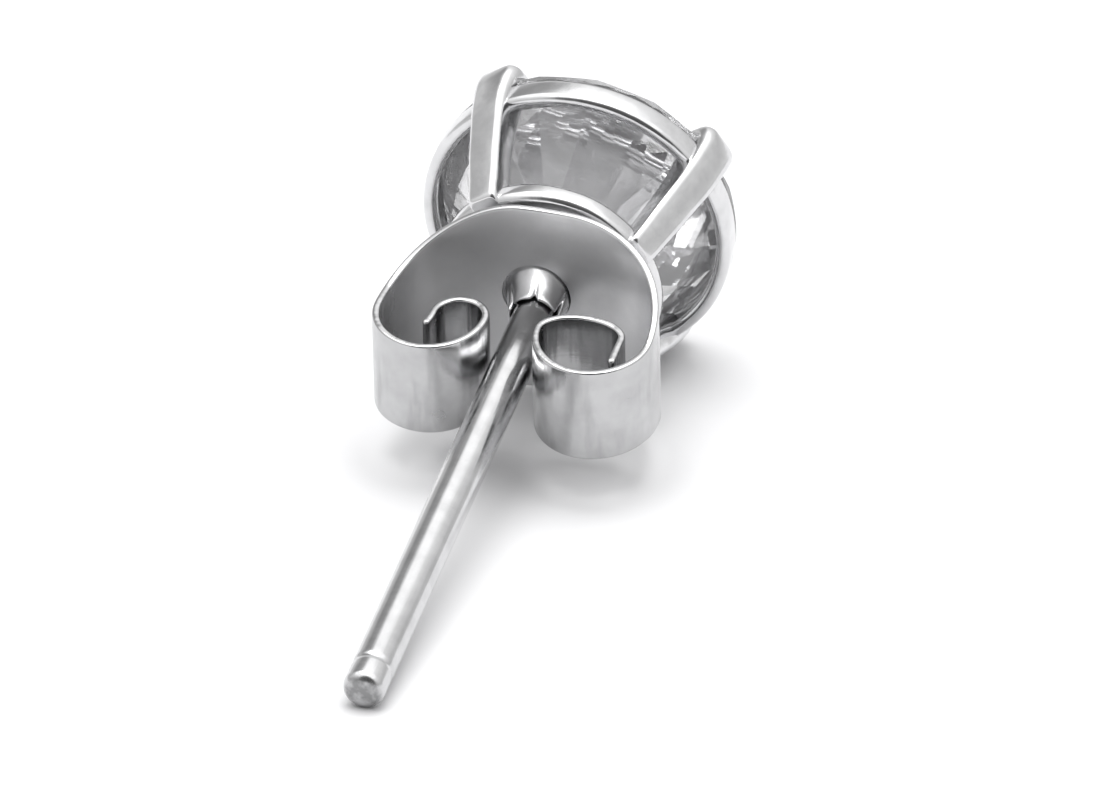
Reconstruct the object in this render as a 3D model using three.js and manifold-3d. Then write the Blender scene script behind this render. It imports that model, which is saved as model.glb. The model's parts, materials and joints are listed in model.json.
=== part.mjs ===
// A stud earring: a round brilliant stone in a four-prong basket with a straight
// post, and the butterfly back that slides on the post. Millimetres, +Z up. It lies
// as it would by itself, on the basket's upper rail and the end of the post.
//
// Each piece is drawn in the stud's own frame: z runs along the post towards its
// end, from 0 at the basket's back face, so the stone is at negative z. x is to the
// right and y is up for someone who looks along the post from its end.

import * as THREE from 'three';
import { mergeVertices } from 'three/addons/utils/BufferGeometryUtils.js';
import Module from 'manifold-3d';

const wasm = await Module();
wasm.setup();

// The stone, a round brilliant, with its proportions as shares of its diameter.
const STONE_DIAMETER = 5.0;
const TABLE_SHARE = 0.57;
const CROWN_SHARE = 0.15;
const PAVILION_SHARE = 0.405;
const GIRDLE_THICKNESS = 0.12;
const STAR_LENGTH_SHARE = 0.5;        // of the way from the table's edge to the girdle
const LOWER_HALF_LENGTH_SHARE = 0.77; // of the way from the girdle to the culet
const GIRDLE_Z = -2.34;
const STONE_TURN = 7;                 // degrees about the post
const SEAT_GAP = 0.045;               // between the girdle and the metal that holds it

// The basket: two rails, four prongs and the cross that carries the post.
const UPPER_RAIL = { inner: 2.33, outer: 2.55, front: -2.26, back: -1.76, round: 0.08, flats: 44 };
const LOWER_RAIL = { inner: 1.42, outer: 1.84, front: -0.42, back: 0, round: 0.12, flats: 40 };
const PRONG_COUNT = 4;
const PRONG_ANGLE = 32;               // degrees from x to the first prong
const CROSS_WIDTH = 0.68;
const CROSS_THICKNESS = 0.22;
const HUB_RADIUS = 0.8;

// A prong in slices across the axis: it leans outwards to the girdle and closes over
// the crown. inner and outer are its faces' distances from the axis.
const PRONG_SLICES = [
  { z: -0.03, inner: 1.5, outer: 1.96, width: 0.52 },
  { z: -0.5, inner: 1.67, outer: 2.14, width: 0.56 },
  { z: -1.1, inner: 1.89, outer: 2.39, width: 0.6 },
  { z: -1.7, inner: 2.05, outer: 2.61, width: 0.64 },
  { z: -2.2, inner: 2.08, outer: 2.73, width: 0.7 },
  { z: -2.5, inner: 2.02, outer: 2.74, width: 0.76 },
  { z: -2.65, inner: 1.99, outer: 2.68, width: 0.72 },
  { z: -2.75, inner: 2.02, outer: 2.55, width: 0.56 },
  { z: -2.8, inner: 2.12, outer: 2.4, width: 0.3 },
];

// The post.
const POST_RADIUS = 0.34;
const POST_LENGTH = 10.9;
const POST_END_ROUND = 0.17;
const POST_GROOVE = { z: 10.3, halfWidth: 0.1, depth: 0.045 };

// The upper rail has a flat where it lies on the surface, this wide to each side, so
// that the stud doesn't roll.
const REST_HALF_WIDTH = 0.68;

// The butterfly back: one strip of sheet, wide at the plate and curled in at both ends.
const SHEET = 0.12;
const PLATE_GAP = 0.14;               // from the basket's back face to the plate
const PLATE_HALF_WIDTH = 1.75;
const STRIP_HALF_WIDTH = 0.85;
const EDGE_ROUND = 0.04;
const BORE_RADIUS = 0.37;
const COLLAR = { baseRadius: 0.5, endRadius: 0.42, height: 0.55 };
const BACK_SPIN = -1.5;               // degrees about the post

// The pull of the shoulder's curve, along the plate and then up to the lobe.
const SHOULDER = { along: 0.52, up: 0.16 };

// Each wing leaves the plate at its shoulder, turns round the lobe and curls inwards, and
// its end rises inside the lobe by tail. It narrows between two distances along the
// strip. The two are bent a little unevenly.
const WINGS = [
  {
    side: 1, reach: 2.27, lobeZ: 1.85, depth: 2.85, inner: 0.44,
    curlWidth: 1.36, curlRise: 0.42, tail: { across: 0, rise: 0.64 }, narrowFrom: 0.5, narrowTo: 3.9,
  },
  {
    side: -1, reach: 2.19, lobeZ: 1.83, depth: 2.78, inner: 0.44,
    curlWidth: 0.84, curlRise: 0.42, tail: { across: 0.06, rise: 0.35 }, narrowFrom: 0.3, narrowTo: 3.0,
  },
];

// How finely the round shapes are cut into flats.
const POST_FLATS = 28;
const GIRDLE_FLATS = 96;
const PRONG_FLATS = 16;
const CORNER_STEPS = 3;
const PATH_STEPS = 52;
const SLIVER = 0.004;                 // the largest sliver left out, in mm

const DEGREE = Math.PI / 180;
const STONE_RADIUS = STONE_DIAMETER / 2;

// The stud leans until the upper rail's back edge and the end of the post are both on
// the surface.
const railTouch = {
  y: -Math.sqrt(UPPER_RAIL.outer ** 2 - REST_HALF_WIDTH ** 2),
  z: UPPER_RAIL.back - UPPER_RAIL.round,
};
const postTouch = {
  y: -POST_RADIUS * Math.cos(Math.PI / POST_FLATS),
  z: POST_LENGTH - POST_END_ROUND,
};
const lean = Math.atan2(postTouch.y - railTouch.y, postTouch.z - railTouch.z);

const metal = (name, color, roughness) =>
  new THREE.MeshStandardMaterial({ name, color, roughness, metalness: 1 });
const polishedMetal = metal('polished white metal', 0xd9dadc, 0.12);
const sheetMetal = metal('rolled sheet', 0xc9cacc, 0.24);
const clearStone = new THREE.MeshStandardMaterial({
  name: 'clear stone', color: 0xf4f6f8, roughness: 0.02, metalness: 0,
});

// ---- helpers ---------------------------------------------------------------

// A closed geometry as a solid that can be joined and cut.
function toSolid(geometry) {
  const bare = geometry.clone();
  bare.deleteAttribute('normal');
  bare.deleteAttribute('uv');
  const merged = mergeVertices(bare, 1e-5);
  const corners = merged.index.array;
  const kept = [];
  for (let i = 0; i < corners.length; i += 3) {
    const [a, b, c] = corners.slice(i, i + 3);
    if (a !== b && b !== c && c !== a) {
      kept.push(a, b, c);
    }
  }
  const mesh = new wasm.Mesh({
    numProp: 3,
    vertProperties: new Float32Array(merged.attributes.position.array),
    triVerts: new Uint32Array(kept),
  });
  return new wasm.Manifold(mesh);
}

// A joined solid as a geometry, without the slivers that joining leaves.
function toGeometry(solid) {
  const mesh = solid.simplify(SLIVER).getMesh();
  const geometry = new THREE.BufferGeometry();
  geometry.setAttribute('position', new THREE.BufferAttribute(mesh.vertProperties, 3));
  geometry.setIndex(new THREE.BufferAttribute(mesh.triVerts, 1));
  return geometry;
}

// A profile of (radius, z) points turned about the z axis, with a flat side lowest.
function turned(profile, flats) {
  const points = profile.map(([radius, z]) => new THREE.Vector2(radius, z));
  return new THREE.LatheGeometry(points, flats, Math.PI / flats).rotateX(Math.PI / 2);
}

// A ring whose section is a rectangle with rounded corners.
function ring({ inner, outer, front, back, round, flats }) {
  const corners = [
    { radius: outer - round, z: front + round, start: 270 },
    { radius: outer - round, z: back - round, start: 0 },
    { radius: inner + round, z: back - round, start: 90 },
    { radius: inner + round, z: front + round, start: 180 },
  ];
  const profile = [];
  for (const corner of corners) {
    for (let i = 0; i <= CORNER_STEPS; i += 1) {
      const angle = (corner.start + (90 * i) / CORNER_STEPS) * DEGREE;
      profile.push([corner.radius + round * Math.cos(angle), corner.z + round * Math.sin(angle)]);
    }
  }
  profile.push(profile[0]);
  return toSolid(turned(profile, flats));
}

// A closed body through rings of points, each with as many points as the next.
function loft(rings) {
  const count = rings[0].length;
  const points = rings.flat();
  const faces = [];
  for (let i = 0; i + 1 < rings.length; i += 1) {
    for (let j = 0; j < count; j += 1) {
      const a = i * count + j;
      const b = i * count + ((j + 1) % count);
      faces.push(a, b, b + count, a, b + count, a + count);
    }
  }
  const last = points.length - count;
  for (let j = 1; j + 1 < count; j += 1) {
    faces.push(0, j + 1, j, last, last + j, last + j + 1);
  }
  const geometry = new THREE.BufferGeometry().setFromPoints(points);
  geometry.setIndex(faces);
  return geometry;
}

// ---- the stone -------------------------------------------------------------

// A point on the stone: its distance from the axis, its angle and its height.
function at(radius, degrees, height) {
  const angle = degrees * DEGREE;
  return new THREE.Vector3(radius * Math.cos(angle), radius * Math.sin(angle), height);
}

// Cuts away what lies outside the plane through three points, on the side away from
// the middle of the stone.
function facet(solid, a, b, c) {
  const plane = new THREE.Plane().setFromCoplanarPoints(a, b, c);
  if (plane.constant < 0) {
    plane.negate();
  }
  return solid.trimByPlane(plane.normal.toArray(), -plane.constant);
}

// The stone in its own frame: table up, the middle of the girdle at the origin.
function makeStone() {
  const edge = GIRDLE_THICKNESS / 2;
  const tableHeight = edge + CROWN_SHARE * STONE_DIAMETER;
  const culetHeight = -edge - PAVILION_SHARE * STONE_DIAMETER;
  const tableRadius = TABLE_SHARE * STONE_RADIUS;
  const half = 22.5;
  const inward = Math.cos(half * DEGREE);
  const tableSide = tableRadius * inward;
  const starRadius = tableSide + STAR_LENGTH_SHARE * (STONE_RADIUS - tableSide);
  const crownSlope = (tableHeight - edge) / (STONE_RADIUS - tableRadius);
  const starHeight = edge + crownSlope * (STONE_RADIUS - starRadius * inward);
  const lowerRadius = (1 - LOWER_HALF_LENGTH_SHARE) * STONE_RADIUS;
  const pavilionDepth = -edge - culetHeight;
  const lowerHeight = -edge - pavilionDepth * (1 - (lowerRadius * inward) / STONE_RADIUS);

  const blank = new THREE.CylinderGeometry(STONE_RADIUS, STONE_RADIUS, STONE_DIAMETER, GIRDLE_FLATS);
  let stone = toSolid(blank.rotateX(Math.PI / 2));
  stone = facet(stone, at(1, 0, tableHeight), at(1, 120, tableHeight), at(1, 240, tableHeight));
  for (let main = 0; main < 360; main += 45) {
    const table = at(tableRadius, main, tableHeight);
    const star = at(starRadius, main + half, starHeight);
    const starBefore = at(starRadius, main - half, starHeight);
    const upper = at(STONE_RADIUS, main, edge);
    const lower = at(STONE_RADIUS, main, -edge);
    stone = facet(stone, table, star, starBefore);
    stone = facet(stone, table, at(tableRadius, main + 45, tableHeight), star);
    const across = new THREE.Vector3(0, 0, culetHeight);
    const beside = at(1, main + 90, 0).add(lower);
    stone = facet(stone, across, lower, beside);
    for (const side of [-half, half]) {
      const turn = main + side;
      stone = facet(stone, upper, at(starRadius, turn, starHeight), at(STONE_RADIUS, turn, edge));
      stone = facet(stone, lower, at(lowerRadius, turn, lowerHeight), at(STONE_RADIUS, turn, -edge));
    }
  }
  return toGeometry(stone);
}

// The stone turned face forward and set in the basket.
function placeStone(object) {
  object.rotation.set(Math.PI, 0, STONE_TURN * DEGREE);
  object.position.z = GIRDLE_Z;
  object.updateMatrix();
  return object;
}

// ---- the basket and the post -----------------------------------------------

// A prong before it is turned to its place. Its section is a rectangle with very round corners.
function makeProng() {
  const squared = (value) => Math.sign(value) * Math.sqrt(Math.abs(value));
  const rings = PRONG_SLICES.map(({ z, inner, outer, width }) => {
    const middle = (inner + outer) / 2;
    return Array.from({ length: PRONG_FLATS }, (_, j) => {
      const angle = (j / PRONG_FLATS) * 2 * Math.PI;
      const radius = middle + (squared(Math.cos(angle)) * (outer - inner)) / 2;
      return new THREE.Vector3(radius, (-squared(Math.sin(angle)) * width) / 2, z);
    });
  });
  return loft(rings);
}

// The upper rail, cut flat by the surface that it lies on.
function makeUpperRail() {
  const up = [0, Math.cos(lean), -Math.sin(lean)];
  return ring(UPPER_RAIL).trimByPlane(up, up[1] * railTouch.y + up[2] * railTouch.z);
}

function makePost() {
  const end = POST_LENGTH;
  const round = POST_END_ROUND;
  const { z, halfWidth, depth } = POST_GROOVE;
  const profile = [
    [0, -CROSS_THICKNESS],
    [POST_RADIUS, -CROSS_THICKNESS],
    [POST_RADIUS, z - halfWidth],
    [POST_RADIUS - depth, z],
    [POST_RADIUS, z + halfWidth],
  ];
  for (let i = 0; i <= CORNER_STEPS; i += 1) {
    const angle = (90 * i * DEGREE) / CORNER_STEPS;
    const radius = POST_RADIUS - round + round * Math.cos(angle);
    profile.push([radius, end - round + round * Math.sin(angle)]);
  }
  profile.push([0, end]);
  return toSolid(turned(profile, POST_FLATS));
}

// Two bars from prong to prong, and the round hub where they cross.
function makeCross() {
  const length = 2 * (LOWER_RAIL.outer - LOWER_RAIL.round);
  const hub = new THREE.CylinderGeometry(HUB_RADIUS, HUB_RADIUS, CROSS_THICKNESS, POST_FLATS);
  let cross = toSolid(hub.rotateX(Math.PI / 2).translate(0, 0, -CROSS_THICKNESS / 2));
  for (const turn of [PRONG_ANGLE, PRONG_ANGLE + 90]) {
    const bar = new THREE.BoxGeometry(length, CROSS_WIDTH, CROSS_THICKNESS);
    bar.translate(0, 0, -CROSS_THICKNESS / 2);
    cross = cross.add(toSolid(bar.rotateZ(turn * DEGREE)));
  }
  return cross;
}

function makeBasketAndPost(stoneGeometry) {
  let metalwork = makePost().add(makeCross()).add(makeUpperRail()).add(ring(LOWER_RAIL));
  for (let i = 0; i < PRONG_COUNT; i += 1) {
    const turn = PRONG_ANGLE + (360 / PRONG_COUNT) * i;
    metalwork = metalwork.add(toSolid(makeProng().rotateZ(turn * DEGREE)));
  }
  const seat = placeStone(new THREE.Object3D());
  const looseness = (STONE_RADIUS + SEAT_GAP) / STONE_RADIUS;
  const cutter = stoneGeometry.clone().scale(looseness, looseness, looseness);
  return toGeometry(metalwork.subtract(toSolid(cutter.applyMatrix4(seat.matrix))));
}

// ---- the butterfly back ----------------------------------------------------

// The middle line of one wing in the (x, z) plane, from the post outwards, with z
// from the middle of the plate.
function wingLine({ reach, lobeZ, depth, inner, curlWidth, curlRise, tail }) {
  const lobeRadius = (reach - inner) / 2;
  const curlRadius = curlWidth / 2;
  const path = new THREE.Path();
  path.moveTo(0, 0);
  path.bezierCurveTo(SHOULDER.along * reach, 0, reach, SHOULDER.up * lobeZ, reach, lobeZ);
  path.absellipse(inner + lobeRadius, lobeZ, lobeRadius, depth - lobeZ, 0, Math.PI, false, 0);
  path.absellipse(inner + curlRadius, lobeZ, curlRadius, curlRise, Math.PI, 2 * Math.PI, false, 0);
  const curlEnd = inner + curlWidth;
  path.quadraticCurveTo(curlEnd, lobeZ + tail.rise / 2, curlEnd + tail.across, lobeZ + tail.rise);
  return path;
}

// Half the width of the strip at a distance along it from the post.
function halfWidthAt(distance, { narrowFrom, narrowTo }) {
  const share = THREE.MathUtils.clamp((distance - narrowFrom) / (narrowTo - narrowFrom), 0, 1);
  const fade = (1 + Math.cos(Math.PI * share)) / 2;
  return STRIP_HALF_WIDTH + (PLATE_HALF_WIDTH - STRIP_HALF_WIDTH) * fade;
}

// The outline of the strip across its length: a flat bar with softened edges.
function stripSection(halfWidth) {
  const face = SHEET / 2;
  const shortened = halfWidth - EDGE_ROUND;
  const thinned = face - EDGE_ROUND;
  return [
    [shortened, face], [halfWidth, thinned], [halfWidth, -thinned], [shortened, -face],
    [-shortened, -face], [-halfWidth, -thinned], [-halfWidth, thinned], [-shortened, face],
  ];
}

// One wing as rings of points, from the middle of the plate to the end of the curl.
function wingRings(wing) {
  const line = wingLine(wing);
  const length = line.getLength();
  return Array.from({ length: PATH_STEPS + 1 }, (_, i) => {
    const share = i / PATH_STEPS;
    const middle = line.getPointAt(share);
    const along = line.getTangentAt(share);
    return stripSection(halfWidthAt(share * length, wing)).map(([across, out]) =>
      new THREE.Vector3(
        wing.side * (middle.x - out * along.y),
        across,
        middle.y + out * along.x,
      ));
  });
}

function makeButterflyBack() {
  const [right, left] = WINGS.map(wingRings);
  const strip = loft([...right.slice(1).reverse(), ...left]);
  const face = SHEET / 2;
  const collar = turned([
    [0, 0], [COLLAR.baseRadius, 0], [COLLAR.endRadius, COLLAR.height], [0, COLLAR.height],
  ], POST_FLATS);
  const through = 3 * COLLAR.height;
  const bore = new THREE.CylinderGeometry(BORE_RADIUS, BORE_RADIUS, through, POST_FLATS);
  const solid = toSolid(strip).add(toSolid(collar)).subtract(toSolid(bore.rotateX(Math.PI / 2)));
  return toGeometry(solid).translate(0, 0, PLATE_GAP + face);
}

// ---- the assembly ----------------------------------------------------------

function piece(name, geometry, material) {
  const mesh = new THREE.Mesh(geometry, material);
  mesh.name = name;
  return mesh;
}

const stoneGeometry = makeStone();
const stone = placeStone(piece('stone', stoneGeometry, clearStone));
const basketAndPost = piece('basket_and_post', makeBasketAndPost(stoneGeometry), polishedMetal);
const butterflyBack = piece('butterfly_back', makeButterflyBack(), sheetMetal);
butterflyBack.rotation.z = BACK_SPIN * DEGREE;

const stud = new THREE.Group();
stud.add(stone, basketAndPost, butterflyBack);
stud.rotation.x = Math.PI / 2 + lean;

const earring = new THREE.Group();
earring.add(stud);
const box = new THREE.Box3().setFromObject(earring, true);
const middle = box.getCenter(new THREE.Vector3());
stud.position.set(-middle.x, -middle.y, -box.min.z);

export default earring;
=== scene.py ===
"""A stud earring with a butterfly back, lying on a white surface.

Every metal piece is drawn in the stud's own frame, in millimetres: z runs along the post to
its end, from 0 at the basket's back face, x is to the right and y is up for someone who
looks along the post from its end. STUD puts that frame in the world, in metres.
"""

import json
import math

import bmesh
import bpy
from mathutils import Matrix, Vector
from mathutils import noise as field


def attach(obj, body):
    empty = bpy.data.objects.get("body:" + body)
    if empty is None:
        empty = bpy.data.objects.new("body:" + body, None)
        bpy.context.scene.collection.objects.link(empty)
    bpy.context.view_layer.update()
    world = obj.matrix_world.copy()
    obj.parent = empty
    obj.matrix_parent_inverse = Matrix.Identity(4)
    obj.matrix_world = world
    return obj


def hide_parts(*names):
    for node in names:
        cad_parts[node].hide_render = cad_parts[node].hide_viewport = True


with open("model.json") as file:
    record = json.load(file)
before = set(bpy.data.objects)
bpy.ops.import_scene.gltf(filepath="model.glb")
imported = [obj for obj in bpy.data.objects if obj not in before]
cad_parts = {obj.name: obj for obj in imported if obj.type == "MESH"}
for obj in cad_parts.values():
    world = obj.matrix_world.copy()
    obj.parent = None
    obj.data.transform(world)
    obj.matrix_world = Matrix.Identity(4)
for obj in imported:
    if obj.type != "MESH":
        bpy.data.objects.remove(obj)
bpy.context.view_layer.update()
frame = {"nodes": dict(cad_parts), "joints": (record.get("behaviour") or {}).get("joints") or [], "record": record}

# ---- sizes, in millimetres and degrees: the CAD model's, with finer edges and tears ----
STONE_RADIUS = 2.5
GIRDLE_Z = -2.34
SEAT_GAP = 0.045
POST_LENGTH = 10.9
POST_RADIUS = 0.34
POST_END_ROUND = 0.17
POST_SOLDER = (  # radius, z
    (0.46, -0.1), (0.46, 0.01), (0.4, 0.025), (0.362, 0.055), (POST_RADIUS, 0.1),
)
POST_BARE_FROM = 0.2
POST_GROOVE = {"z": 10.3, "half_width": 0.1, "depth": 0.018, "margin": 0.02}
POST_PAINTED_SHADE = (0.09, 0.02)  # how far before its end the painted shade on the end begins and is full
UPPER_RAIL = {"inner": 2.3, "outer": 2.54, "front": -2.26, "back": -1.76, "corner": 0.11}
LOWER_RAIL = {"inner": 1.42, "outer": 1.84, "front": -0.42, "back": 0.0, "corner": 0.13}
PRONG_ANGLE = 32
PRONG_COUNT = 4
CAST_WOBBLE = 0.012  # how far hand finishing moves a cast surface
PRONG_SLICES = (  # z, inner, outer, width, corner
    (0.0, 1.6, 1.85, 0.38, 0.1),
    (-0.06, 1.51, 1.96, 0.52, 0.1),
    (-0.5, 1.67, 2.14, 0.56, 0.1),
    (-1.1, 1.89, 2.39, 0.6, 0.1),
    (-1.7, 2.05, 2.61, 0.64, 0.11),
    (-2.2, 2.08, 2.73, 0.7, 0.15),
    (-2.5, 2.02, 2.74, 0.76, 0.19),
    (-2.65, 1.99, 2.68, 0.72, 0.2),
    (-2.75, 2.02, 2.55, 0.56, 0.19),
    (-2.8, 2.12, 2.4, 0.3, 0.1),
)
CROSS = {"length": 3.44, "width": 0.68, "thickness": 0.22, "corner": 0.06}
HUB = {"radius": 0.8, "front": -0.22, "back": 0.0, "corner": 0.05}
SHEET = 0.12
PLATE_GAP = 0.14
PLATE_HALF_WIDTH = 1.75
STRIP_HALF_WIDTH = 0.85
EDGE_ROUND = 0.04
CUT_END_ROUND = 0.06
CUT_END_THINNEST = 0.25  # of the sheet's thickness
CUT_END_NARROWING = 0.05
BORE_RADIUS = 0.37
HOLE_RADIUS = 0.565
COLLAR_FOOT, COLLAR_HEIGHT = 0.06, 0.6  # the tears get deeper from the one to the other
COLLAR_INSIDE = 0.39  # a profile point nearer the axis than this isn't torn
COLLAR_LEAN = Vector((-0.08, 0.1, 0))  # how far its foot is moved beside its mouth
COLLAR_LEAN_REACH = 0.2  # from the bore to where the foot is moved in full
COLLAR_PROFILE = (  # radius, z
    (0.6, -0.05), (0.6, 0.0), (0.562, 0.008), (0.54, 0.02), (0.527, 0.06), (0.513, 0.12),
    (0.498, 0.2), (0.478, 0.3), (0.458, 0.4), (0.442, 0.5), (0.43, 0.56), (0.417, 0.59),
    (0.4, COLLAR_HEIGHT), (0.382, 0.58), (0.374, 0.5), (0.37, 0.38), (0.37, 0.22), (0.378, 0.1),
    (0.4, 0.03), (0.43, -0.02), (0.48, -0.045), (0.54, -0.056), (0.585, -0.058),
)
COLLAR_TEARS = (  # angle, width, depth
    (22, 9, 1.7),
    (88, 12, 0.6),
    (152, 13, 1.0),
    (228, 12, 0.8),
    (300, 12, 1.0),
)
TEAR_INWARDS, TEAR_DOWN = 0.07, 0.2  # a depth of 1 as a share of the radius, and in z
BACK_SPIN = -1.5
SHOULDER = {"along": 0.52, "up": 0.16}
WINGS = (
    {"side": 1, "reach": 2.27, "lobe_z": 1.85, "depth": 2.85, "inner": 0.44,
     "curl_width": 1.36, "curl_rise": 0.42, "tail": (0.0, 0.64), "narrow": (0.5, 3.9)},
    {"side": -1, "reach": 2.19, "lobe_z": 1.83, "depth": 2.78, "inner": 0.44,
     "curl_width": 0.84, "curl_rise": 0.42, "tail": (0.06, 0.35), "narrow": (0.3, 3.0)},
)
SEGMENTS = {"rail": 192, "hub": 96, "post": 72, "collar": 240, "hole": 96}

# ---- the sheet's looks, by the distance along the strip from its middle ----
BEND_FROM, BEND_TO = 2.2, 3.2
# where the plate's painted shade begins and where it is darkest, going towards the left wing
PLATE_SHADE_FROM, PLATE_SHADE_TO = 0.3, -2.2

# ---- the stud's frame in the world ----
MM = 0.001
along = Vector(frame["joints"][0]["axis"]).normalized()
across = Vector((1, 0, 0))
upwards = along.cross(across)
post_end = next(m for m in frame["record"]["mounts"] if m["name"] == "post_end")
origin = Vector(post_end["pos_m"]) - along * POST_LENGTH * MM
STUD_TURN = Matrix((across, upwards, along)).transposed().to_4x4()
STUD = Matrix.Translation(origin) @ STUD_TURN @ Matrix.Scale(MM, 4)

# the butterfly back's place in the stud's frame: turned a little, its sheet's middle at 0
BACK = Matrix.Rotation(math.radians(BACK_SPIN), 4, "Z")
BACK = BACK @ Matrix.Translation((0, 0, PLATE_GAP + SHEET / 2))


# ---- meshes ----

def add_piece(name, verts, faces, material, matrix=STUD):
    mesh = bpy.data.meshes.new(name)
    mesh.from_pydata(verts, [], faces)
    mesh.validate()
    mesh.polygons.foreach_set("use_smooth", [True] * len(mesh.polygons))
    mesh.materials.append(material)
    obj = bpy.data.objects.new(name, mesh)
    bpy.context.scene.collection.objects.link(obj)
    obj.matrix_world = matrix
    return obj


def turn(angle):
    """The cosine and sine of an angle in degrees."""
    return math.cos(math.radians(angle)), math.sin(math.radians(angle))


def rounded_corners(corners, steps):
    """An outline round corners, each given as (x, y, first angle, radius) about its centre."""
    outline = []
    for x, y, first, radius in corners:
        for i in range(steps + 1):
            c, s = turn(first + 90 * i / steps)
            outline.append((x + radius * c, y + radius * s))
    return outline


def rounded_rectangle(half_width, half_height, corner, steps=4):
    """An outline about (0, 0), from its right side round to the left."""
    x, y = half_width - corner, half_height - corner
    return rounded_corners(
        ((x, y, 0, corner), (-x, y, 90, corner), (-x, -y, 180, corner), (x, -y, 270, corner)),
        steps,
    )


def lathe(profile, segments, closed):
    """Verts and faces of a (radius, z) profile turned about z. One that isn't closed starts
    and ends on the axis."""
    verts, faces = [], []
    rows = profile if closed else profile[1:-1]
    for radius, z in rows:
        for j in range(segments):
            c, s = turn(360 * j / segments)
            verts.append((radius * c, radius * s, z))
    count = len(rows)
    for i in range(count if closed else count - 1):
        here, beyond = i * segments, (i + 1) % count * segments
        for j in range(segments):
            k = (j + 1) % segments
            faces.append((here + j, here + k, beyond + k, beyond + j))
    if not closed:
        for row, point, flip in ((0, profile[0], True), (count - 1, profile[-1], False)):
            pole = len(verts)
            verts.append((0, 0, point[1]))
            for j in range(segments):
                a, b = row * segments + j, row * segments + (j + 1) % segments
                faces.append((b, a, pole) if flip else (a, b, pole))
    return verts, faces


def loft(rings):
    """Verts and faces of a closed body through rings of points, with flat ends."""
    count = len(rings[0])
    verts = [point for ring in rings for point in ring]
    faces = []
    for i in range(len(rings) - 1):
        for j in range(count):
            a, b = i * count + j, i * count + (j + 1) % count
            faces.append((a, b, b + count, a + count))
    last = (len(rings) - 1) * count
    faces.append(tuple(reversed(range(count))))
    faces.append(tuple(range(last, last + count)))
    return verts, faces


def ring_profile(inner, outer, front, back, corner, steps=5):
    """The rounded (radius, z) section of a rail."""
    return rounded_corners(
        (
            (outer - corner, front + corner, -90, corner),
            (outer - corner, back - corner, 0, corner),
            (inner + corner, back - corner, 90, corner),
            (inner + corner, front + corner, 180, corner),
        ),
        steps,
    )


def cut(obj, cutter):
    """Cuts the cutter out of a piece and removes the cutter."""
    tool = obj.modifiers.new("cut", "BOOLEAN")
    tool.operation, tool.solver, tool.object = "DIFFERENCE", "EXACT", cutter
    shaped = obj.evaluated_get(bpy.context.evaluated_depsgraph_get())
    mesh = bpy.data.meshes.new_from_object(shaped)
    obj.modifiers.clear()
    obj.data = mesh
    bpy.data.objects.remove(cutter)


def sharpen(obj, degrees):
    """Keeps edges sharper than this angle sharp."""
    obj.data.set_sharp_from_angle(angle=math.radians(degrees))


def face_outwards(obj):
    """Makes every face of a closed piece face outwards."""
    bm = bmesh.new()
    bm.from_mesh(obj.data)
    bmesh.ops.recalc_face_normals(bm, faces=bm.faces)
    bm.to_mesh(obj.data)
    bm.free()


def wobble(obj, amount, scale, seed):
    """Moves each point a little along its normal, as hand finishing does."""
    mesh = obj.data
    normals = [v.normal.copy() for v in mesh.vertices]
    for v, normal in zip(mesh.vertices, normals):
        v.co += normal * amount * field.noise(v.co * scale + Vector((seed, 0, 0)))


def flatten(obj):
    """Brings points that are under the surface up to it."""
    back = obj.matrix_world.inverted()
    for v in obj.data.vertices:
        place = obj.matrix_world @ v.co
        if place.z < 0:
            place.z = 0
            v.co = back @ place


# ---- materials ----

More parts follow.
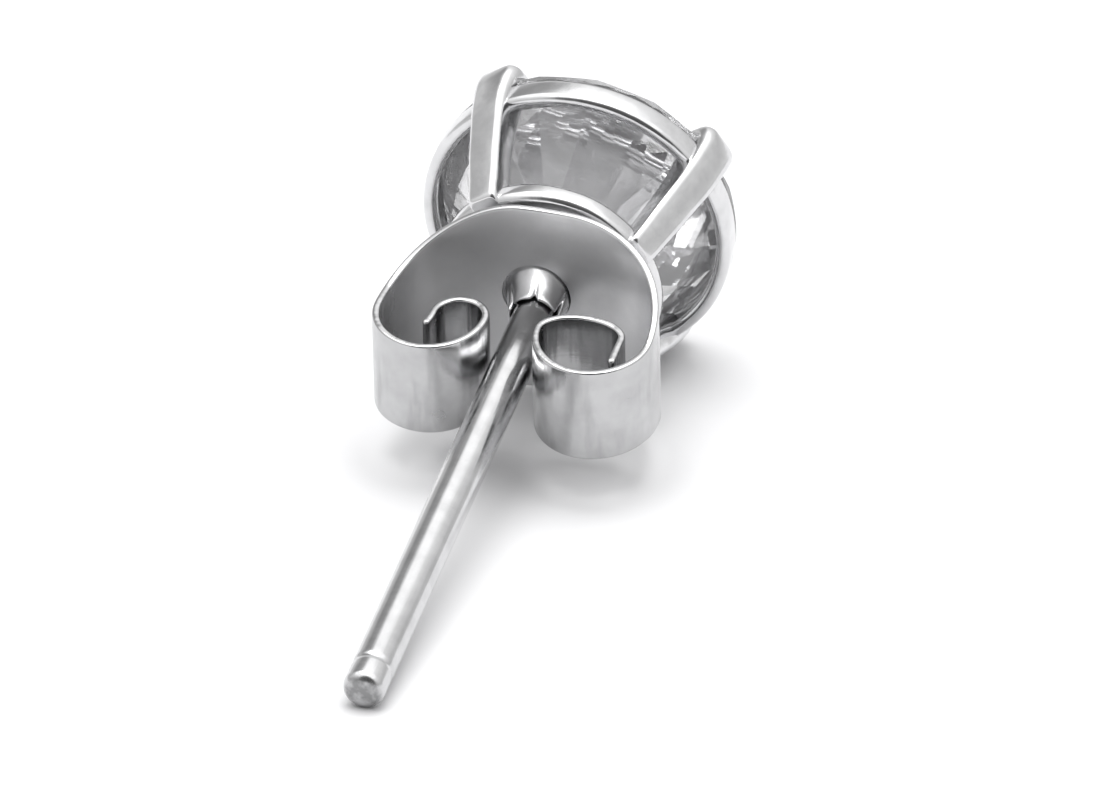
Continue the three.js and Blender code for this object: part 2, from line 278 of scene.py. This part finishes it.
class Shader:
    """A material's node tree, written one node at a time."""

    def __init__(self, name):
        self.material = bpy.data.materials.new(name)
        self.material.use_nodes = True
        self.nodes = self.material.node_tree.nodes
        self.links = self.material.node_tree.links
        self.bsdf = self.nodes["Principled BSDF"]
        self.place = self.nodes.new("ShaderNodeTexCoord").outputs["Object"]

    def plug(self, socket, value):
        """Links a node's output to a socket, or sets the socket to a constant."""
        if isinstance(value, bpy.types.NodeSocket):
            self.links.new(value, socket)
        else:
            socket.default_value = value

    def scaled(self, source, scale, turned=(0, 0, 0)):
        """Coordinates multiplied along each axis: a low number draws a pattern out."""
        node = self.nodes.new("ShaderNodeMapping")
        self.plug(node.inputs["Vector"], source)
        node.inputs["Scale"].default_value = scale
        node.inputs["Rotation"].default_value = turned  # in radians
        return node.outputs["Vector"]

    def noise(self, source, scale, detail=4.0, rough=0.5):
        node = self.nodes.new("ShaderNodeTexNoise")
        self.plug(node.inputs["Vector"], source)
        node.inputs["Scale"].default_value = scale
        node.inputs["Detail"].default_value = detail
        node.inputs["Roughness"].default_value = rough
        return node.outputs["Fac"]

    def ranged(self, value, low, high, out_low, out_high):
        node = self.nodes.new("ShaderNodeMapRange")
        self.plug(node.inputs["Value"], value)
        for name, number in (
            ("From Min", low), ("From Max", high), ("To Min", out_low), ("To Max", out_high),
        ):
            node.inputs[name].default_value = number
        return node.outputs["Result"]

    def mixed(self, share, first, second):
        node = self.nodes.new("ShaderNodeMix")
        node.data_type = "RGBA"
        self.plug(node.inputs["Factor"], share)
        self.plug(node.inputs["A"], first)
        self.plug(node.inputs["B"], second)
        return node.outputs["Result"]

    def maths(self, operation, first, second):
        node = self.nodes.new("ShaderNodeMath")
        node.operation = operation
        self.plug(node.inputs[0], first)
        self.plug(node.inputs[1], second)
        return node.outputs[0]

    def bump(self, height, distance, strength=1.0, before=None):
        node = self.nodes.new("ShaderNodeBump")
        node.inputs["Strength"].default_value = strength
        node.inputs["Distance"].default_value = distance
        self.plug(node.inputs["Height"], height)
        if before is not None:
            self.plug(node.inputs["Normal"], before)
        return node.outputs["Normal"]

    def cloudy(self, noise):
        """Noise spread over 0 to 1, for soft patches."""
        return self.ranged(noise, 0.35, 0.7, 0, 1)

    def parted(self, vector, axis):
        node = self.nodes.new("ShaderNodeSeparateXYZ")
        self.plug(node.inputs[0], vector)
        return node.outputs[axis]

    def paint(self, colour, rough, normal=None):
        self.plug(self.bsdf.inputs["Base Color"], colour)
        self.plug(self.bsdf.inputs["Roughness"], rough)
        if normal is not None:
            self.plug(self.bsdf.inputs["Normal"], normal)

    def attribute(self, name):
        node = self.nodes.new("ShaderNodeAttribute")
        node.attribute_name = name
        return node.outputs["Fac"]

    def map(self, name):
        node = self.nodes.new("ShaderNodeUVMap")
        node.uv_map = name
        return node.outputs["UV"]


def grey(value):
    """A grey that is the least bit cool."""
    return (value, value, value * 1.01, 1)


def cast_metal(name, rough):
    """Cast and polished: soft hollows left by the polishing wheel, haze and fine scratches."""
    s = Shader(name)
    s.bsdf.inputs["Metallic"].default_value = 1
    hollows = s.noise(s.place, 1.6, detail=2)
    haze = s.noise(s.place, 3.5, detail=5, rough=0.6)
    scratches = s.noise(s.scaled(s.place, (18, 2.2, 9), (0.4, 0.9, 0.2)), 3.0, detail=3)
    wheel = s.bump(hollows, 0.03 * MM, 0.6)
    s.paint(
        s.mixed(s.cloudy(haze), grey(0.7), grey(0.61)),
        s.ranged(haze, 0.3, 0.75, rough, rough + 0.1),
        s.bump(scratches, 0.0012 * MM, 0.5, wheel),
    )
    return s.material


def drawn_wire():
    """The post: wire drawn through a die, with faint lines along it and a rough, cut end that is painted darker,
    in blotches, as painted shade.
    """
    s = Shader("drawn_wire")
    s.bsdf.inputs["Metallic"].default_value = 1
    lines = s.noise(s.scaled(s.place, (9, 9, 0.25)), 2.2, detail=4, rough=0.6)
    haze = s.noise(s.place, 2.2, detail=4)
    marks = s.noise(s.scaled(s.place, (1.2, 1.2, 7)), 2.0, detail=3)
    blotches = s.ranged(s.noise(s.place, 5, detail=3), 0.4, 0.6, 0, 1)
    begins, full = (POST_LENGTH - before for before in POST_PAINTED_SHADE)
    end = s.ranged(s.parted(s.place, "Z"), begins, full, 0, 1)
    drawn = s.mixed(s.cloudy(haze), grey(0.62), grey(0.54))
    # Painted shade: the end is painted darker, in blotches, for the shaded floor that it reflects; its added
    # roughness is the cut's own.
    painted_shade_end = s.mixed(blotches, grey(0.46), grey(0.26))
    rough = s.ranged(marks, 0.3, 0.7, 0.1, 0.2)
    s.paint(
        s.mixed(end, drawn, painted_shade_end),
        s.maths("ADD", rough, s.ranged(end, 0, 1, 0, 0.15)),
        s.bump(lines, 0.004 * MM, 0.6),
    )
    return s.material


def rolled_sheet():
    """The back's sheet: a satin plate, painted lighter than the lobes, with painted shade that
    darkens it towards the left; rolling lines along the strip, shinier bent lobes with creases
    and smudges, and a burnished rim."""
    s = Shader("sheet_metal")
    s.bsdf.inputs["Metallic"].default_value = 1
    strip = s.map("strip")
    from_middle = s.parted(strip, "X")
    rim = s.attribute("rim")
    bent = s.ranged(s.maths("ABSOLUTE", from_middle, 0), BEND_FROM, BEND_TO, 0, 1)
    # Painted shade: the plate is painted darker towards the left wing, where it reflects shade.
    painted_shade_left = s.ranged(from_middle, PLATE_SHADE_FROM, PLATE_SHADE_TO, 0, 0.9)

    rolling = s.noise(s.scaled(strip, (0.35, 11, 1)), 1.6, detail=5, rough=0.62)
    ridges = s.noise(s.scaled(strip, (0.12, 2.4, 1)), 1.0, detail=2)
    haze = s.noise(s.place, 1.9, detail=5, rough=0.6)
    creases = s.noise(s.scaled(strip, (1.5, 0.12, 1)), 1.0, detail=3, rough=0.6)
    smudges = s.noise(s.scaled(strip, (2.4, 0.5, 1)), 1.0, detail=3, rough=0.6)
    smudges = s.maths("MULTIPLY", s.ranged(smudges, 0.52, 0.68, 0, 0.6), bent)

    # Painted light: the same sheet is painted lighter on the plate than on the lobes, to lift the plate, which
    # mostly reflects shade.
    plate = s.mixed(s.cloudy(haze), grey(0.86), grey(0.79))
    plate = s.mixed(painted_shade_left, plate, grey(0.42))
    lobes = s.mixed(s.cloudy(haze), grey(0.53), grey(0.45))
    colour = s.mixed(smudges, s.mixed(bent, plate, lobes), grey(0.34))
    colour = s.mixed(rim, colour, grey(0.5))

    rough = s.ranged(haze, 0.3, 0.75, 0.3, 0.42)
    rough = s.maths("SUBTRACT", rough, s.ranged(bent, 0, 1, 0, 0.13))
    rough = s.maths("SUBTRACT", rough, s.ranged(rim, 0, 1, 0, 0.08))

    dents = s.bump(ridges, 0.006 * MM, 0.5)
    dents = s.bump(s.maths("MULTIPLY", creases, bent), 0.05 * MM, 1.0, dents)
    s.paint(colour, rough, s.bump(rolling, 0.0015 * MM, 0.7, dents))
    return s.material


def clear_stone():
    """Cut and polished, with a little haze on its facets. The stone is drawn in metres, so
    its noise has a scale a thousand times that of the metal's."""
    s = Shader("clear_stone")
    s.bsdf.inputs["Transmission Weight"].default_value = 0.86
    s.bsdf.inputs["IOR"].default_value = 2.0
    haze = s.noise(s.place, 1400, detail=4, rough=0.6)
    s.paint(s.mixed(haze, grey(0.97), grey(0.93)), s.ranged(haze, 0.45, 0.8, 0.01, 0.04))
    return s.material


def pale_surface():
    """Matt white with a fine grain."""
    s = Shader("pale_surface")
    s.bsdf.inputs["Specular IOR Level"].default_value = 0.1
    grain = s.noise(s.place, 900, detail=3)
    s.paint(s.mixed(grain, grey(0.73), grey(0.715)), 0.9)
    return s.material


polished_metal = cast_metal("polished_metal", rough=0.1)
collar_metal = cast_metal("torn_metal", rough=0.26)
wire = drawn_wire()
sheet_metal = rolled_sheet()


# ---- the stone ----
stone = frame["nodes"]["stone"]
stone.data.materials.clear()
stone.data.materials.append(clear_stone())


# ---- the basket ----

def catmull(rows, steps):
    """Rows of numbers passed through smoothly, with this many steps from row to row."""
    found = []
    for i in range(len(rows) - 1):
        near = (min(max(k, 0), len(rows) - 1) for k in (i - 1, i, i + 1, i + 2))
        before, a, b, after = (rows[k] for k in near)
        for k in range(steps):
            t = k / steps
            found.append(tuple(
                0.5 * (2 * q + (r - p) * t + (2 * p - 5 * q + 4 * r - s) * t**2
                       + (3 * q - p - 3 * r + s) * t**3)
                for p, q, r, s in zip(before, a, b, after)
            ))
    found.append(tuple(rows[-1]))
    return found


def prong_rings():
    """Sections of the prong that points along x, from its foot to the claw over the stone."""
    rings = []
    for z, inner, outer, width, corner in catmull(PRONG_SLICES, 6):
        middle, half_d, half_w = (inner + outer) / 2, (outer - inner) / 2, width / 2
        outline = rounded_rectangle(half_d, half_w, min(corner, 0.9 * half_d, 0.9 * half_w))
        rings.append([Vector((middle + a, b, z)) for a, b in outline])
    return rings


def stone_cutter():
    """The stone's own shape, a little larger, for the seats in the prongs."""
    mesh = stone.data.copy()
    middle = STUD @ Vector((0, 0, GIRDLE_Z))
    grow = Matrix.Scale(1 + SEAT_GAP / STONE_RADIUS, 4)
    mesh.transform(Matrix.Translation(middle) @ grow @ Matrix.Translation(-middle))
    bm = bmesh.new()
    bm.from_mesh(mesh)
    bmesh.ops.remove_doubles(bm, verts=bm.verts, dist=1e-7)
    bm.to_mesh(mesh)
    bm.free()
    obj = bpy.data.objects.new("cutter", mesh)
    bpy.context.scene.collection.objects.link(obj)
    return obj


def prong_turn(number):
    """The turn about the post that takes the x direction to a prong's."""
    return Matrix.Rotation(math.radians(PRONG_ANGLE + 360 * number / PRONG_COUNT), 4, "Z")


def make_prongs():
    verts, faces = loft(prong_rings())
    prongs = []
    for i in range(PRONG_COUNT):
        spin = prong_turn(i)
        prong = add_piece(f"prong_{i + 1}", [spin @ v for v in verts], faces, polished_metal)
        face_outwards(prong)
        wobble(prong, CAST_WOBBLE, scale=1.7, seed=3.0 * i)
        cut(prong, stone_cutter())
        sharpen(prong, 40)
        prongs.append(prong)
    return prongs


def make_rail(name, size, seed):
    verts, faces = lathe(ring_profile(**size), SEGMENTS["rail"], True)
    rail = add_piece(name, verts, faces, polished_metal)
    face_outwards(rail)
    wobble(rail, CAST_WOBBLE, scale=1.3, seed=seed)
    flatten(rail)
    return rail


def make_hub():
    """The disc that carries the post."""
    front, back, corner = HUB["front"], HUB["back"], HUB["corner"]
    side = HUB["radius"] - corner
    corners = ((side, front + corner, -90, corner), (side, back - corner, 0, corner))
    profile = [(0, front), *rounded_corners(corners, 4), (0, back)]
    verts, faces = lathe(profile, SEGMENTS["hub"], False)
    hub = add_piece("hub", verts, faces, polished_metal)
    face_outwards(hub)
    return hub


def make_cross_bar(number, steps=12):
    """A flat bar from one prong to the one across from it."""
    half_t = CROSS["thickness"] / 2
    outline = rounded_rectangle(CROSS["width"] / 2, half_t, CROSS["corner"])
    spin = prong_turn(number)
    rings = []
    for k in range(steps + 1):
        x = CROSS["length"] * (k / steps - 0.5)
        rings.append([spin @ Vector((x, a, b - half_t)) for a, b in outline])
    verts, faces = loft(rings)
    bar = add_piece(f"cross_bar_{number + 1}", verts, faces, polished_metal)
    face_outwards(bar)
    sharpen(bar, 50)
    return bar


def make_post():
    """The post, with the solder at its foot, a shallow groove and a rounded end."""
    bare_steps, groove_steps, end_steps = 40, 8, 10
    groove_from = POST_GROOVE["z"] - POST_GROOVE["half_width"]
    bare = groove_from - POST_GROOVE["margin"] - POST_BARE_FROM
    profile = [(0, POST_SOLDER[0][1]), *POST_SOLDER]
    for i in range(bare_steps + 1):
        profile.append((POST_RADIUS, POST_BARE_FROM + bare * i / bare_steps))
    for i in range(groove_steps + 1):
        share = i / groove_steps
        dip = POST_GROOVE["depth"] * (1 - math.cos(2 * math.pi * share)) / 2
        profile.append((POST_RADIUS - dip, groove_from + 2 * POST_GROOVE["half_width"] * share))
    for i in range(end_steps + 1):
        c, s = turn(90 * i / end_steps)
        profile.append((
            POST_RADIUS - POST_END_ROUND + POST_END_ROUND * c,
            POST_LENGTH - POST_END_ROUND + POST_END_ROUND * s,
        ))
    profile.append((0, POST_LENGTH))
    verts, faces = lathe(profile, SEGMENTS["post"], False)
    post = add_piece("post", verts, faces, wire)
    face_outwards(post)
    flatten(post)
    sharpen(post, 50)
    return post


# ---- the butterfly back ----

def wing_path(wing, fine=300):
    """(x, z) along the middle of a wing's sheet: shoulder, lobe, curl and tail."""
    reach, lobe_z, inner = wing["reach"], wing["lobe_z"], wing["inner"]
    lobe, curl = (reach - inner) / 2, wing["curl_width"] / 2
    along_shoulder, up_shoulder = SHOULDER["along"] * reach, SHOULDER["up"] * lobe_z
    pull = ((0, 0), (along_shoulder, 0), (reach, up_shoulder), (reach, lobe_z))
    path = []
    for i in range(fine):
        t = i / fine
        shares = ((1 - t) ** 3, 3 * t * (1 - t) ** 2, 3 * t * t * (1 - t), t**3)
        path.append(tuple(sum(w * p[k] for w, p in zip(shares, pull)) for k in (0, 1)))
    for i in range(fine):
        c, s = turn(180 * i / fine)
        path.append((inner + lobe + lobe * c, lobe_z + (wing["depth"] - lobe_z) * s))
    for i in range(fine):
        c, s = turn(180 + 180 * i / fine)
        path.append((inner + curl + curl * c, lobe_z + wing["curl_rise"] * s))
    over, rise = wing["tail"]
    for i in range(fine + 1):
        t = i / fine
        path.append((inner + 2 * curl + over * t * t, lobe_z + rise * t))
    return path


def evenly(path, steps=230):
    """Points at even distances along a path, and its length."""
    gone = [0]
    for a, b in zip(path, path[1:]):
        gone.append(gone[-1] + math.dist(a, b))
    line, k = [], 0
    for i in range(steps + 1):
        want = gone[-1] * i / steps
        while k < len(path) - 2 and gone[k + 1] < want:
            k += 1
        share = (want - gone[k]) / (gone[k + 1] - gone[k])
        line.append(tuple(a + share * (b - a) for a, b in zip(path[k], path[k + 1])))
    return line, gone[-1]


def half_width_at(distance, narrow):
    """Half of the strip's width: the plate narrows to the wings between two distances."""
    share = min(max((distance - narrow[0]) / (narrow[1] - narrow[0]), 0), 1)
    wide = (1 + math.cos(math.pi * share)) / 2
    return STRIP_HALF_WIDTH + (PLATE_HALF_WIDTH - STRIP_HALF_WIDTH) * wide


def strip_section(half_width, thin):
    """The strip's outline across its length, as (across, out, how near the rim)."""
    face = SHEET / 2 * thin
    corner = min(EDGE_ROUND, 0.9 * face)
    reach, steps, between = half_width - corner, 4, 8
    outline = []
    for side in (1, -1):
        for i in range(between):
            outline.append((side * reach * (2 * i / between - 1), -side * face, 0.0))
        for i in range(steps + 1):
            c, s = turn(-90 + 90 * i / steps)
            y, out = reach + corner * c, corner * (1 + s) - face
            outline.append((side * y, side * out, 0.4 + 0.6 * c))
        for i in range(steps):
            c, s = turn(90 * i / steps)
            y, out = reach + corner * c, face - corner + corner * s
            outline.append((side * y, side * out, 0.4 + 0.6 * c))
    return outline


def thinning_at(left):
    """The share of its thickness that the sheet has this far before its rounded cut end."""
    if left > CUT_END_ROUND:
        return 1.0
    rounded_off = max(1 - (1 - left / CUT_END_ROUND) ** 2, 0)
    return max(math.sqrt(rounded_off), CUT_END_THINNEST)


def wing_rings(wing):
    """Rings of (point, distance along the strip, place across it, how near the rim)."""
    line, length = evenly(wing_path(wing))
    side, steps = wing["side"], len(line) - 1
    rings = []
    for i, (x, z) in enumerate(line):
        before, after = line[max(i - 1, 0)], line[min(i + 1, steps)]
        heading = Vector((after[0] - before[0], after[1] - before[1])).normalized()
        distance = length * i / steps
        thin = thinning_at(length - distance)
        half = half_width_at(distance, wing["narrow"])
        half -= CUT_END_NARROWING * (1 - thin)
        ring = []
        for y, out, rim in strip_section(half, thin):
            point = Vector((side * (x - out * heading.y), y, z + out * heading.x))
            ring.append((point, side * distance, y, rim))
        rings.append(ring)
    return rings


def make_strip():
    """Both wings as one strip, from the end of the right curl to the end of the left one."""
    right, left = (wing_rings(wing) for wing in WINGS)
    rings = list(reversed(right))[:-1] + left
    verts, faces = loft([[entry[0] for entry in ring] for ring in rings])
    strip = add_piece("back_strip", [BACK @ v for v in verts], faces, sheet_metal)
    mesh = strip.data
    where = [(entry[1], entry[2]) for ring in rings for entry in ring]
    rim = mesh.attributes.new("rim", "FLOAT", "POINT")
    rim.data.foreach_set("value", [entry[3] for ring in rings for entry in ring])
    layer = mesh.uv_layers.new(name="strip")
    layer.data.foreach_set("uv", [n for loop in mesh.loops for n in where[loop.vertex_index]])
    face_outwards(strip)
    wobble(strip, 0.008, scale=1.1, seed=5.0)
    return strip


def make_collar():
    """The metal pushed up round the hole: it tapers, and it is torn into petals."""
    segments = SEGMENTS["collar"]
    verts, faces = lathe(COLLAR_PROFILE, segments, True)
    shaped = []
    for k, (x, y, z) in enumerate(verts):
        angle = 360 * (k % segments) / segments
        rise = min(max((z - COLLAR_FOOT) / (COLLAR_HEIGHT - COLLAR_FOOT), 0), 1)
        crease = 0
        for tear, width, depth in COLLAR_TEARS:
            near = abs((angle - tear + 180) % 360 - 180)
            crease = max(crease, depth * max(0.0, 1 - near / width) ** 1.5)
        radius = math.hypot(x, y)
        shrink = 1 - TEAR_INWARDS * crease * rise if radius > COLLAR_INSIDE else 1
        place = Vector((x * shrink, y * shrink, z - TEAR_DOWN * crease * rise * rise))
        lean = (1 - rise) * (radius - BORE_RADIUS) / COLLAR_LEAN_REACH
        shaped.append(place + COLLAR_LEAN * lean)
    collar = add_piece("back_collar", [BACK @ v for v in shaped], faces, collar_metal)
    face_outwards(collar)
    wobble(collar, CAST_WOBBLE, scale=4.0, seed=9.0)
    return collar


def hole_cutter():
    """A plug for the hole under the collar."""
    bottom, top = -0.5, 0.9
    profile = [(0, bottom), (HOLE_RADIUS, bottom), (HOLE_RADIUS, top), (0, top)]
    verts, faces = lathe(profile, SEGMENTS["hole"], False)
    cutter = add_piece("cutter", [Vector(v) + COLLAR_LEAN for v in verts], faces, sheet_metal)
    face_outwards(cutter)
    return cutter


basket = make_prongs()
basket.append(make_rail("upper_rail", UPPER_RAIL, seed=0.0))
basket.append(make_rail("lower_rail", LOWER_RAIL, seed=2.0))
basket.append(make_hub())
basket += [make_cross_bar(number) for number in range(PRONG_COUNT // 2)]
basket.append(make_post())
strip = make_strip()
cut(strip, hole_cutter())
sharpen(strip, 50)
collar = make_collar()

for piece in basket:
    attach(piece, "stud")
    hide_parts("basket_and_post")
for piece in (strip, collar):
    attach(piece, "butterfly")
    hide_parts("butterfly_back")


# ---- the surface, the light and the camera, in metres ----

VIEW_AZIMUTH, VIEW_ELEVATION = 15.5, 27
VIEW_AIM = STUD @ Vector((0.8, 0, 2.7))
VIEW_WIDTH = 0.0174
VIEW_DISTANCE = 0.4
SKY_STOPS = (  # height, brightness
    (-1.0, 0.95),
    (-0.05, 0.9),
    (0.15, 0.72),
    (0.45, 0.95),
    (0.6, 1.1),
    (0.75, 1.6),
    (1.0, 1.5),
)
SKY_SHADES = (  # azimuth, elevation, inner, outer, share of light left
    (VIEW_AZIMUTH, VIEW_ELEVATION, 26, 42, 0.12),
    (221, 34, 8, 24, 0.4),
    (256, 27, 6, 20, 0.68),
)


def add_floor():
    half_size, steps = 0.7, 24
    row = steps + 1
    places = [half_size * (2 * i / steps - 1) for i in range(row)]
    verts = [(x, y, 0) for x in places for y in places]
    corners = [i * row + j for i in range(steps) for j in range(steps)]
    faces = [(k, k + row, k + row + 1, k + 1) for k in corners]
    floor = add_piece("surface", verts, faces, pale_surface(), Matrix.Identity(4))


def add_softbox(name, place, target, width, depth, strength):
    """A rectangular light, with its strength in watts for each square metre."""
    data = bpy.data.lights.new(name, "AREA")
    data.shape, data.size, data.size_y = "RECTANGLE", width, depth
    data.energy = strength * width * depth
    light = bpy.data.objects.new(name, data)
    bpy.context.scene.collection.objects.link(light)
    light.location = place
    light.rotation_euler = (Vector(target) - Vector(place)).to_track_quat("-Z", "Y").to_euler()


def direction(azimuth, elevation):
    """A direction from the earring: azimuth 0 is towards -Y, 90 towards +X."""
    ca, sa = turn(azimuth)
    ce, se = turn(elevation)
    return Vector((sa * ce, -ca * ce, se))


def shaded(nodes, links, place, shade):
    """The share of light left by a round shaded part of the sky."""
    azimuth, elevation, inner, outer, left = shade
    near = nodes.new("ShaderNodeVectorMath")
    near.operation = "DOT_PRODUCT"
    links.new(place, near.inputs[0])
    near.inputs[1].default_value = direction(azimuth, elevation)
    share = nodes.new("ShaderNodeMapRange")
    share.interpolation_type = "SMOOTHSTEP"
    share.inputs["From Min"].default_value = turn(outer)[0]
    share.inputs["From Max"].default_value = turn(inner)[0]
    share.inputs["To Min"].default_value = 1
    share.inputs["To Max"].default_value = left
    links.new(near.outputs["Value"], share.inputs["Value"])
    return share.outputs["Result"]


def add_sky(stops, shades):
    """Light from all round: its brightness by height, from -1 straight down to 1 straight
    up, with round parts in the shade."""
    world = bpy.data.worlds.new("studio")
    bpy.context.scene.world = world
    world.use_nodes = True
    nodes, links = world.node_tree.nodes, world.node_tree.links
    place = nodes.new("ShaderNodeTexCoord").outputs["Generated"]
    height = nodes.new("ShaderNodeSeparateXYZ")
    links.new(place, height.inputs[0])
    level = nodes.new("ShaderNodeMapRange")
    level.inputs["From Min"].default_value = -1
    links.new(height.outputs["Z"], level.inputs["Value"])
    ramp = nodes.new("ShaderNodeValToRGB")
    links.new(level.outputs["Result"], ramp.inputs["Fac"])
    ramp.color_ramp.interpolation = "EASE"
    while len(ramp.color_ramp.elements) < len(stops):
        ramp.color_ramp.elements.new(0.5)
    for element, (rise, value) in zip(ramp.color_ramp.elements, stops):
        element.position = (rise + 1) / 2
        element.color = (value, value, value, 1)
    links.new(ramp.outputs["Color"], nodes["Background"].inputs["Color"])
    strength = shaded(nodes, links, place, shades[0])
    for shade in shades[1:]:
        product = nodes.new("ShaderNodeMath")
        product.operation = "MULTIPLY"
        links.new(strength, product.inputs[0])
        links.new(shaded(nodes, links, place, shade), product.inputs[1])
        strength = product.outputs[0]
    links.new(strength, nodes["Background"].inputs["Strength"])


def add_camera(azimuth, elevation, distance, aim, width):
    """A camera that sees this width at the point that it aims at."""
    data = bpy.data.cameras.new("camera")
    data.sensor_width = 36
    data.lens = data.sensor_width * distance / width
    data.clip_start, data.clip_end = 0.01, 10
    camera = bpy.data.objects.new("camera", data)
    bpy.context.scene.collection.objects.link(camera)
    away = direction(azimuth, elevation)
    camera.location = aim + away * distance
    camera.rotation_euler = (-away).to_track_quat("-Z", "Y").to_euler()
    bpy.context.scene.camera = camera


add_floor()
add_sky(SKY_STOPS, SKY_SHADES)
add_softbox(
    "overhead", place=(-0.02, 0.06, 0.5), target=(0, 0, 0), width=0.4, depth=0.4, strength=12,
)
add_camera(VIEW_AZIMUTH, VIEW_ELEVATION, VIEW_DISTANCE, VIEW_AIM, VIEW_WIDTH)
bpy.context.scene.view_settings.view_transform = "Standard"
